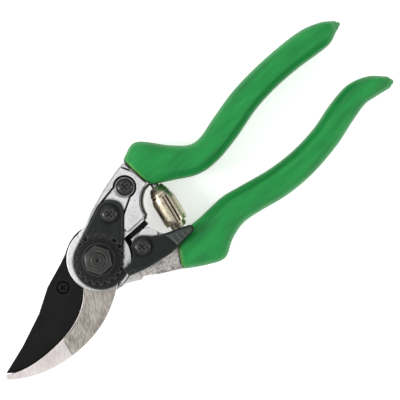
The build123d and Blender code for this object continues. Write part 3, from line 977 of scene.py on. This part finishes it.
@dataclass
class VoluteSpring:
    """Strip wound from both ends into one barrel, so that its ends draw out of the barrel as it opens."""

    foot: Vector = field(default_factory=lambda: Vector((34.35, -13.25, 9.0)))
    head: Vector = field(default_factory=lambda: Vector((38.35, 7.35, 9.0)))
    strip_t: float = 0.35
    strip_w: float = 1.3
    pitch: float = 1.4
    flare: float = 11.0
    barrel_r: float = 5.3
    barrel_t: float = 0.45
    layer_gap: float = 0.06
    layer_t: float = 0.2
    barrel_low: float = 2.9
    barrel_l: float = 12.8
    barrel_rows: int = 16
    bulge: float = 0.02
    shoulder: float = 0.05
    shoulder_at: float = 0.84
    rim_angle: float = 60.0
    smooth: float = 40.0
    seam_at: float = 104.0
    seam: float = 15.0
    seam_shade_lip: float = 3.2
    lining_seam: float = 2.0
    around: int = 40
    spread: float = 2.0

    def frame_at(self, end: Vector, other: Vector) -> Matrix:
        """Matrix whose Z axis runs along the spring from one end to the other.

        Args:
            end: the end at the origin.
            other: the other end.

        Returns:
            The matrix.
        """
        axis = (other - end).normalized()
        side = Vector((0, 0, 1))
        return Matrix.Translation(end * MM) @ Matrix((side.cross(axis), side, axis)).transposed().to_4x4()

    def strip(self, thickness: float, width: float, rows: int) -> bmesh.types.BMesh:
        """A strip's section, standing in the XZ plane with its outer face at X = 0.

        Args:
            thickness: the strip's thickness.
            width: its width, along Z from 0.
            rows: how many faces it has across its width.

        Returns:
            The mesh.
        """
        mesh = bmesh.new()
        bmesh.ops.create_grid(mesh, x_segments=1, y_segments=rows, size=0.5)
        size = Matrix.Diagonal((thickness * MM, width * MM, 1, 1))
        bmesh.ops.transform(mesh, verts=mesh.verts, matrix=size)
        self.rotate(mesh, 90.0, "X")
        bmesh.ops.translate(mesh, verts=mesh.verts, vec=(-thickness / 2 * MM, 0, width / 2 * MM))
        return mesh

    @staticmethod
    def rotate(mesh: bmesh.types.BMesh, degrees: float, axis: str) -> None:
        """Rotate a whole mesh about an axis through the origin."""
        turn = Matrix.Rotation(math.radians(degrees), 3, axis)
        bmesh.ops.rotate(mesh, verts=mesh.verts, cent=(0, 0, 0), matrix=turn)

    def wind(self, mesh: bmesh.types.BMesh, turn: float, steps: int, rise: float) -> None:
        """Wind a section round the Z axis and close its ends.

        Args:
            mesh: the section.
            turn: the whole turn, in degrees.
            steps: how many steps it takes.
            rise: how far a step climbs, in millimetres.
        """
        bmesh.ops.spin(
            mesh, geom=mesh.verts[:] + mesh.edges[:] + mesh.faces[:], cent=(0, 0, 0), axis=(0, 0, 1),
            dvec=(0, 0, rise * MM), angle=math.radians(turn), steps=steps, use_duplicate=False,
        )
        bmesh.ops.remove_doubles(mesh, verts=mesh.verts, dist=WIND_GAP * MM)
        bmesh.ops.holes_fill(mesh, edges=[edge for edge in mesh.edges if edge.is_boundary], sides=0)

    def coil(self, coil: Coil) -> None:
        """Wind a strip that draws out of the barrel.

        Args:
            coil: which end it is.
        """
        ends = (self.foot, self.head) if coil.body is Body.REAR else (self.head, self.foot)
        mesh = self.strip(self.strip_t, self.strip_w, 1)
        self.rotate(mesh, self.flare, "Y")
        bmesh.ops.translate(mesh, verts=mesh.verts, vec=(coil.inside_r * MM, 0, 0))
        self.wind(mesh, 360.0 * coil.turns, self.around * coil.turns, self.pitch / self.around)
        for vert in mesh.verts:
            along = min(1.0, max(0.0, vert.co.z / MM / coil.cone))
            shrink = coil.tip_r / coil.inside_r
            shrink += (1.0 - shrink) * along
            vert.co.x *= shrink
            vert.co.y *= shrink
        bmesh.ops.transform(mesh, verts=mesh.verts, matrix=self.frame_at(*ends))
        bmesh.ops.recalc_face_normals(mesh, faces=mesh.faces)
        piece = finished(mesh, coil.name, [SPRING_STRIP], self.smooth)
        settle(piece, coil.body, Slot.SPRING, "volute_spring")

    def layer(self, name: str, outer_r: float, thickness: float, seam_at: float, seam: float) -> None:
        """Roll one layer of the barrel, with narrow shoulders at its ends, a seam between its edges and
        painted shade on the faces beside the seam.

        Args:
            name: the piece's name.
            outer_r: outer radius.
            thickness: the strip's thickness.
            seam_at: the seam's place round the barrel, in degrees.
            seam: the seam's angle, in degrees.
        """
        mesh = self.strip(thickness, self.barrel_l, self.barrel_rows)
        bmesh.ops.translate(mesh, verts=mesh.verts, vec=(outer_r * MM, 0, 0))
        self.rotate(mesh, seam_at + seam / 2, "Z")
        self.wind(mesh, 360.0 - seam, 2 * self.around, 0.0)
        round_edges(mesh, sharp_edges(mesh, self.rim_angle), thickness / 3)
        mesh.normal_update()
        for face in mesh.faces:
            middle = face.calc_center_median()
            off_seam = math.degrees(math.atan2(middle.y, middle.x)) - seam_at
            # faces beside the seam get painted shade
            face.material_index = int(abs(off_seam) < seam / 2 + self.seam_shade_lip)
        for vert in mesh.verts:
            off_middle = 2 * vert.co.z / MM / self.barrel_l - 1
            shrink = 1.0 - self.bulge * off_middle**2
            if abs(off_middle) > self.shoulder_at:
                shrink -= self.shoulder
            vert.co.x *= shrink
            vert.co.y *= shrink
            vert.co.z += self.barrel_low * MM
        bmesh.ops.transform(mesh, verts=mesh.verts, matrix=self.frame_at(self.foot, self.head))
        bmesh.ops.recalc_face_normals(mesh, faces=mesh.faces)
        piece = finished(mesh, name, [SPRING_STRIP, SPRING_SEAM_SHADE], self.smooth)
        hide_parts("volute_spring")
        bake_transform(piece)
        LOG.info("%s: %d faces between the handles", piece.name, len(piece.data.polygons))

    def build(self) -> None:
        """Make the barrel's two layers and the coils at both ends."""
        self.layer("spring_barrel", self.barrel_r, self.barrel_t, self.seam_at, self.seam)
        inner_r = self.barrel_r - self.barrel_t - self.layer_gap
        self.layer("spring_barrel_lining", inner_r, self.layer_t, self.seam_at + 180.0, self.lining_seam)
        self.coil(LOWER_COIL)
        self.coil(UPPER_COIL)


@dataclass
class ThumbCatch:
    """The catch lever with a ridged thumb pad."""

    pad_z: float = 20.6
    ridge_start: float = 29.6
    ridge_step: float = 2.2
    ridges: int = 4
    ridge_r: float = 0.3
    ridge_y: Point = (-17.0, -12.6)
    ridge_slope: float = 0.42
    ridge_sink: float = 0.1
    ridge_sides: int = 12
    top_z: float = 22.2
    edge: float = 0.25

    def build(self) -> None:
        """Make the lever and the pad's ridges."""
        lever = worked_copy("catch_lever", self.edge)
        for face in lever.faces:
            # faces above the pad's level get the lighter pad coating, partly wear and partly painted
            # highlight
            face.material_index = int(face.calc_center_median().z / MM > self.pad_z)
        piece = finished(lever, "catch_lever_worked", [CATCH_COATING, PAD_WEAR_AND_HIGHLIGHT])
        settle(piece, Body.CATCH, Slot.CATCH, "catch_lever")
        mesh = bmesh.new()
        for index in range(self.ridges):
            x = self.ridge_start + index * self.ridge_step
            low, high = self.ridge_y[0], self.ridge_y[1] - self.ridge_slope * (x - self.ridge_start)
            made = bmesh.ops.create_cone(
                mesh, cap_ends=True, segments=self.ridge_sides, radius1=self.ridge_r * MM,
                radius2=self.ridge_r * MM, depth=(high - low) * MM,
            )["verts"]
            turn = Matrix.Rotation(math.pi / 2, 3, "X")
            bmesh.ops.rotate(mesh, verts=made, cent=(0, 0, 0), matrix=turn)
            middle = Vector((x, (low + high) / 2, self.top_z - self.ridge_sink))
            bmesh.ops.translate(mesh, verts=made, vec=middle * MM)
        settle(finished(mesh, "thumb_pad_ridges", [PAD_WEAR_AND_HIGHLIGHT]), Body.CATCH, Slot.CATCH)


@dataclass(frozen=True)
class Softbox:
    """A square soft light that faces the object: place and side in metres, power in watts."""

    name: str
    place: Triple
    side: float
    power: float

    def build(self) -> None:
        """Make the light."""
        data = bpy.data.lights.new(self.name, "AREA")
        data.size, data.energy = self.side, self.power
        made = bpy.data.objects.new(self.name, data)
        made.location = self.place
        made.rotation_euler = Vector(self.place).to_track_quat("Z", "Y").to_euler()
        bpy.context.scene.collection.objects.link(made)


LEFT_SOFTBOX = Softbox("left_softbox", (-0.75, 0.55, 0.7), side=0.35, power=5.0)
RIGHT_SOFTBOX = Softbox("right_softbox", (0.8, -0.7, 0.5), side=0.3, power=1.5)


@dataclass(frozen=True)
class Table:
    """A plain pale table top, just below the object."""

    name: str = "table_top"
    half: float = 2.0
    drop: float = 0.0003
    greys: Point = (0.90, 0.93)
    roughness: float = 0.8
    glow: float = 0.48

    def material(self) -> bpy.types.Material:
        """Make its faintly uneven white.

        Returns:
            The material.
        """
        graph = Graph("pale_table")
        grain = graph.noise(0.02, 2.0)
        low, high = self.greys
        white = graph.ramp(grain, [(0.3, (low, low, low)), (0.7, (high, high, high))])
        graph.link(white, graph.shader.inputs["Base Color"])
        graph.set(Roughness=self.roughness, Emission_Color=(1, 1, 1, 1), Emission_Strength=self.glow)
        return graph.material

    def build(self) -> None:
        """Make the table top as a piece of the stage."""
        mesh = bmesh.new()
        bmesh.ops.create_grid(mesh, x_segments=1, y_segments=1, size=self.half)
        bmesh.ops.translate(mesh, verts=mesh.verts, vec=(0, 0, -self.drop))
        data = bpy.data.meshes.new(self.name)
        mesh.to_mesh(data)
        mesh.free()
        data.materials.append(self.material())
        made = bpy.data.objects.new(self.name, data)
        bpy.context.scene.collection.objects.link(made)


@dataclass
class Studio:
    """Pale table, soft lights and a camera that looks straight down.

    The dome's greys run from the horizon to straight above, and the sides' ones along the X axis.
    """

    middle: Point = (48.7, -9.9)
    turn: float = -42.0
    width: float = 172.0
    lens: float = 100.0
    sensor: float = 36.0
    object_z: float = 10.0
    glow: float = 1.35
    dome: tuple[Point, ...] = (
        (0.0, 0.08), (0.2, 0.16), (0.36, 1.0), (0.75, 0.95), (0.92, 0.66), (1.0, 0.58),
    )
    sides: tuple[Point, ...] = ((0.0, 1.0), (0.35, 0.85), (0.6, 0.95), (1.0, 0.55))

    def build(self) -> None:
        """Make the table, the lights, the world and the camera."""
        Table().build()
        LEFT_SOFTBOX.build()
        RIGHT_SOFTBOX.build()
        self.world()
        self.camera()
        bpy.context.scene.view_settings.view_transform = "Standard"

    def world(self) -> None:
        """Make a world whose brightness depends on height and side."""
        world = bpy.data.worlds.new("studio")
        world.use_nodes = True
        tree = world.node_tree
        background = tree.nodes["Background"]
        place = tree.nodes.new("ShaderNodeTexCoord")
        split = tree.nodes.new("ShaderNodeSeparateXYZ")
        tree.links.new(place.outputs["Generated"], split.inputs["Vector"])
        centred = tree.nodes.new("ShaderNodeMapRange")
        centred.inputs["From Min"].default_value = -1.0
        tree.links.new(split.outputs["X"], centred.inputs["Value"])
        both = tree.nodes.new("ShaderNodeMix")
        both.data_type, both.blend_type = "RGBA", "MULTIPLY"
        both.inputs["Factor"].default_value = 1.0
        tree.links.new(self.greys(tree, split.outputs["Z"], self.dome), both.inputs["A"])
        tree.links.new(self.greys(tree, centred.outputs["Result"], self.sides), both.inputs["B"])
        tree.links.new(both.outputs["Result"], background.inputs["Color"])
        background.inputs["Strength"].default_value = self.glow
        bpy.context.scene.world = world

    def camera(self) -> None:
        """Make the camera, above the object."""
        data = bpy.data.cameras.new("camera")
        data.lens, data.sensor_width = self.lens, self.sensor
        camera = bpy.data.objects.new("camera", data)
        bpy.context.scene.collection.objects.link(camera)
        height = self.object_z + self.width * self.lens / self.sensor
        camera.location = (self.middle[0] * MM, self.middle[1] * MM, height * MM)
        camera.rotation_euler = (0, 0, math.radians(self.turn))
        bpy.context.scene.camera = camera

    @staticmethod
    def greys(tree: bpy.types.NodeTree, value: Socket, stops: tuple[Point, ...]) -> Socket:
        """Greys for a direction's height or side.

        Args:
            tree: the world's nodes.
            value: the height or side, 0 to 1.
            stops: pairs of place and grey.

        Returns:
            The grey.
        """
        made = tree.nodes.new("ShaderNodeValToRGB")
        fill_ramp(made.color_ramp, [(place, (grey, grey, grey)) for place, grey in stops])
        tree.links.new(value, made.inputs["Fac"])
        return made.outputs["Color"]


# Rings of a grip's ends: size on the section's and push ahead; at the cut end also how yellow they are.
CUT_END = [(0.76, 3.0, 0.2), (0.78, 0.3, 0.5), (0.84, -0.25, 1.0), (0.93, -0.3, 0.9), (0.985, -0.05, 0.3)]
TIP_NUB = [(0.9, 0.7), (0.72, 1.25), (0.52, 1.6), (0.42, 2.1), (0.3, 2.6), (0.12, 2.8)]

# A grip's upper and lower outline points, from the cut end to the tip.
FRONT_GRIP_EDGES = [
    ((36.0, 25.3), (37.6, 9.2)),
    ((44.8, 27.2), (41.2, 6.8)),
    ((54.2, 17.0), (45.6, 4.3)),
    ((60.6, 11.2), (55.6, -1.2)),
    ((66.5, 10.1), (65.6, -2.4)),
    ((76.0, 12.4), (78.8, -0.4)),
    ((90.0, 15.4), (92.4, 2.9)),
    ((104.0, 16.5), (105.0, 4.2)),
    ((118.0, 16.4), (118.0, 4.0)),
    ((129.5, 15.3), (128.5, 3.0)),
    ((137.3, 12.6), (135.3, 2.7)),
    ((142.2, 9.4), (141.0, 4.8)),
]
REAR_GRIP_EDGES = [
    ((31.8, -14.0), (23.6, -27.2)),
    ((38.0, -15.1), (32.2, -32.6)),
    ((44.0, -15.4), (40.2, -35.7)),
    ((50.5, -15.2), (47.8, -31.8)),
    ((57.5, -15.3), (55.8, -29.7)),
    ((67.0, -17.3), (64.5, -30.7)),
    ((80.0, -20.0), (78.0, -33.4)),
    ((93.0, -20.9), (92.0, -33.9)),
    ((106.0, -19.7), (107.5, -31.9)),
    ((117.0, -17.0), (120.0, -28.6)),
    ((128.5, -15.5), (128.5, -26.8)),
    ((137.5, -18.4), (133.8, -27.3)),
    ((143.6, -23.8), (141.0, -28.7)),
]

CARRIED = [
    CarriedNode("lock_segment", Body.FRONT, Slot.CATCH, CATCH_COATING, 0.18),
    CarriedNode("segment_screw", Body.FRONT, Slot.OXIDE, BLACK_OXIDE, 0.12),
    CarriedNode("pocket_washer", Body.FRONT, Slot.BRIGHT, HEAD_ALUMINIUM, 0.12),
    CarriedNode("pocket_screw", Body.FRONT, Slot.OXIDE, BLACK_OXIDE, 0.12),
    CarriedNode("toothed_disc", Body.FRONT, Slot.OXIDE, DISC_OXIDE, 0.15),
    CarriedNode("nut_washer", Body.FRONT, Slot.OXIDE, DISC_OXIDE, 0.15),
    CarriedNode("hex_nut", Body.FRONT, Slot.OXIDE, NUT_OXIDE, 0.3, 3),
    CarriedNode("pivot_bolt", Body.FRONT, Slot.OXIDE, NUT_OXIDE, 0.2),
    CarriedNode("head_washer", Body.FRONT, Slot.BRIGHT, BRIGHT_STEEL, 0.12),
    CarriedNode("counter_rivets", Body.FRONT, Slot.BRIGHT, BRIGHT_STEEL, 0.15),
    CarriedNode("spring_head_stud", Body.FRONT, Slot.BRIGHT, BRIGHT_STEEL, 0.2),
    CarriedNode("spring_foot_stud", Body.REAR, Slot.BRIGHT, BRIGHT_STEEL, 0.2),
    CarriedNode("blade_screw", Body.REAR, Slot.OXIDE, BLADE_COATING, 0.1),
    CarriedNode("pivot_bush", Body.REAR, Slot.BUSH, BRONZE, 0.0),
    CarriedNode("stop_buffer", Body.REAR, Slot.BUFFER, BUFFER_RUBBER, 0.4, 3),
    CarriedNode("catch_bush", Body.REAR, Slot.BRIGHT, BRIGHT_STEEL, 0.0),
    CarriedNode("catch_screw", Body.REAR, Slot.OXIDE, BLACK_OXIDE, 0.12),
    CarriedNode("catch_peg", Body.CATCH, Slot.OXIDE, BLACK_OXIDE, 0.15),
]


def main() -> None:
    """Build the studio and every piece."""
    logging.basicConfig(level=logging.INFO, format="%(message)s")
    Studio().build()
    Handles().build()
    Blades().build()
    DippedGrip("front_grip", Body.FRONT, FRONT_GRIP_EDGES, inner=-1).build()
    DippedGrip("rear_grip", Body.REAR, REAR_GRIP_EDGES, inner=1).build()
    for part in CARRIED:
        part.build()
    ThumbCatch().build()
    VoluteSpring().build()


if __name__ == "__main__":
    main()
